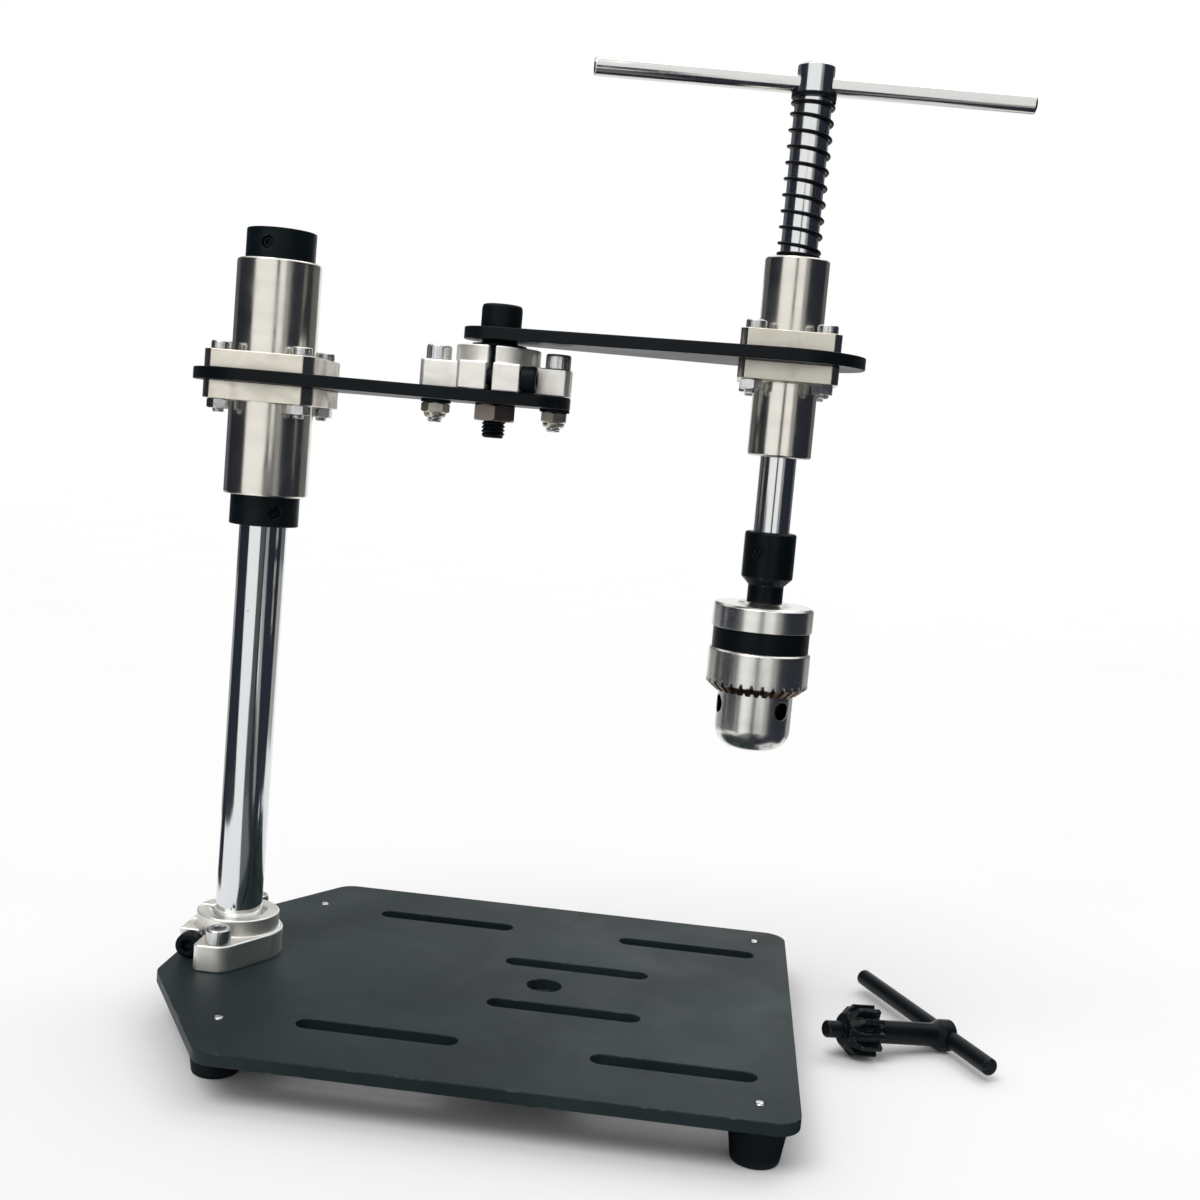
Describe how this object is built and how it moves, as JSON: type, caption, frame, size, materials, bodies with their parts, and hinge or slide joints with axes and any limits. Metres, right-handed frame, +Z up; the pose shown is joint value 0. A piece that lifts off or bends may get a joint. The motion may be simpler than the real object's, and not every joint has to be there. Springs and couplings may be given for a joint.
{
  "type": "manual tapping machine",
  "caption": "Hand tapping machine: a jointed arm swings on a column and guides a sprung spindle with a T-handle and a keyed chuck, square to a slotted base plate.",
  "frame": {"origin": "on the bench, under the middle of the box round the whole part, its key included", "axes": "+Z up along the column and the spindle, +X from the column towards the spindle as stored, +Y to the far side of the plate"},
  "size_m": [0.2906, 0.173, 0.3291],
  "materials": {
    "powder_coat": "matt black powder coat with a fine grain",
    "foot_rubber": "moulded black rubber",
    "seal_rubber": "black seal rubber",
    "bright_zinc": "bright zinc plate",
    "pale_zinc": "pale yellow zinc plate",
    "browned_steel": "browned steel",
    "clamp_alloy": "satin nickel plate over an alloy casting",
    "hard_chrome": "ground and hard chromed",
    "bearing_steel": "turned steel with nickel plate",
    "ball_steel": "polished ball steel",
    "cage_resin": "moulded resin cage",
    "black_oxide": "black oxide on steel",
    "spring_steel": "blackened spring wire",
    "bar_steel": "ground steel rod",
    "chuck_steel": "turned and polished steel",
    "grip_black": "black oxide ring",
    "jaw_steel": "hardened ground steel"
  },
  "bodies": {
    "root": {"base_plate": "powder_coat", "rubber_feet": "foot_rubber", "foot_screws": "bright_zinc", "column_foot_clamp": "clamp_alloy", "column_foot_bolts": "bright_zinc", "column_clamp_screw": "black_oxide", "column": "hard_chrome"},
    "collars": {"lower_collar": "black_oxide", "upper_collar": "black_oxide", "collar_set_screws": "black_oxide"},
    "lower_arm": {"lower_arm_plate": "powder_coat", "column_bearing_upper": "bearing_steel", "column_bearing_lower": "bearing_steel", "column_bearing_cages": "cage_resin", "column_bearing_balls": "ball_steel", "column_bearing_seals": "seal_rubber", "column_flange_screws": "bright_zinc", "column_flange_nuts": "bright_zinc", "elbow_clamp": "clamp_alloy", "elbow_clamp_screw": "black_oxide", "elbow_clamp_bolts": "bright_zinc", "elbow_clamp_washers": "black_oxide", "elbow_clamp_nuts": "pale_zinc", "pivot_bush": "black_oxide", "pivot_bolt": "black_oxide", "pivot_nut": "browned_steel"},
    "upper_arm": {"upper_arm_plate": "powder_coat", "spindle_bearing_upper": "bearing_steel", "spindle_bearing_lower": "bearing_steel", "spindle_bearing_cages": "cage_resin", "spindle_bearing_balls": "ball_steel", "spindle_bearing_seals": "seal_rubber", "spindle_flange_screws": "bright_zinc", "spindle_flange_nuts": "bright_zinc", "return_spring": "spring_steel"},
    "feed": {"spring_washer": "black_oxide"},
    "spindle": {"spindle_shaft": "hard_chrome", "handle_bar": "bar_steel", "chuck_adapter": "black_oxide", "adapter_set_screw": "black_oxide", "chuck_body": "chuck_steel", "chuck_band": "grip_black"},
    "sleeve": {"chuck_sleeve": "chuck_steel", "chuck_nut": "jaw_steel"},
    "jaw_1": {"chuck_jaw_1": "jaw_steel"},
    "jaw_2": {"chuck_jaw_2": "jaw_steel"},
    "jaw_3": {"chuck_jaw_3": "jaw_steel"},
    "key": {"key_stem": "black_oxide", "key_bar": "black_oxide"}
  },
  "joints": [
    {"name": "height_adjust", "type": "slide", "parent": "root", "child": "collars", "axis": [0, 0, 1], "range_m": [-0.04, 0]},
    {"name": "arm_swing", "type": "hinge", "parent": "collars", "child": "lower_arm", "pos_m": [-0.1193, 0, 0.215], "axis": [0, 0, 1], "continuous": true},
    {"name": "elbow_swing", "type": "hinge", "parent": "lower_arm", "child": "upper_arm", "pos_m": [-0.0433, 0, 0.233], "axis": [0, 0, 1], "range_deg": [-145, 145]},
    {"name": "spindle_feed", "type": "slide", "parent": "upper_arm", "child": "feed", "axis": [0, 0, 1], "range_m": [-0.034, 0], "stiffness_N_per_m": 980, "springref_m": 0.006, "deforming": ["return_spring"]},
    {"name": "spindle_turn", "type": "hinge", "parent": "feed", "child": "spindle", "pos_m": [0.0517, 0, 0.25], "axis": [0, 0, 1], "continuous": true},
    {"name": "sleeve_turn", "type": "hinge", "parent": "spindle", "child": "sleeve", "pos_m": [0.0517, 0, 0.132], "axis": [0, 0, 1], "range_deg": [0, 3168]},
    {"name": "jaw_1_slide", "type": "slide", "parent": "spindle", "child": "jaw_1", "axis": [-0.2488, -0.0713, -0.9659], "range_m": [0, 0.01101]},
    {"name": "jaw_2_slide", "type": "slide", "parent": "spindle", "child": "jaw_2", "axis": [0.1862, -0.1798, -0.9659], "range_m": [0, 0.01101]},
    {"name": "jaw_3_slide", "type": "slide", "parent": "spindle", "child": "jaw_3", "axis": [0.0626, 0.2511, -0.9659], "range_m": [0, 0.01101]},
    {"name": "key_lift", "type": "slide", "parent": "root", "child": "key", "axis": [0, 0, 1], "range_m": [0, 0.06]}
  ],
  "couplings": [
    {"joint": "jaw_1_slide", "follows": "sleeve_turn", "m_per_rad": 0.00019894},
    {"joint": "jaw_2_slide", "follows": "sleeve_turn", "m_per_rad": 0.00019894},
    {"joint": "jaw_3_slide", "follows": "sleeve_turn", "m_per_rad": 0.00019894}
  ]
}
